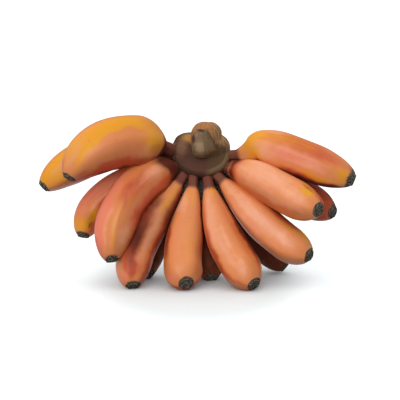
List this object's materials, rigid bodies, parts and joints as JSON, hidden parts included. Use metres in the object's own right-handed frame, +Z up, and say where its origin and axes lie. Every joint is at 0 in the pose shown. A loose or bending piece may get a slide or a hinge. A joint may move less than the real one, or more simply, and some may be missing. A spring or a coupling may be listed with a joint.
{
  "type": "hand of red bananas",
  "caption": "Hand of short, plump red bananas grown from one woody crown with a stub of stalk, standing on its fingertips with the crown on top.",
  "frame": {"origin": "middle of the bounding box in X and Y, at the surface that the fingertips stand on", "axes": "+Z up, +X along the width of the hand, the front fingertips lean out towards -Y"},
  "size_m": [0.3482, 0.1167, 0.1856],
  "materials": {
    "skin": "waxy satin peel, orange-red with yellow and maroon zones and dark rough flower ends",
    "crown": "dry, dull, fibrous brown"
  },
  "bodies": {
    "root": {"crown": "crown", "front_finger_1": "skin", "front_finger_2": "skin", "front_finger_3": "skin", "front_finger_4": "skin", "front_finger_5": "skin", "front_finger_6": "skin", "front_finger_7": "skin", "front_finger_8": "skin", "back_finger_1": "skin", "back_finger_2": "skin", "back_finger_3": "skin", "back_finger_4": "skin", "back_finger_5": "skin", "back_finger_6": "skin"}
  },
  "joints": []
}
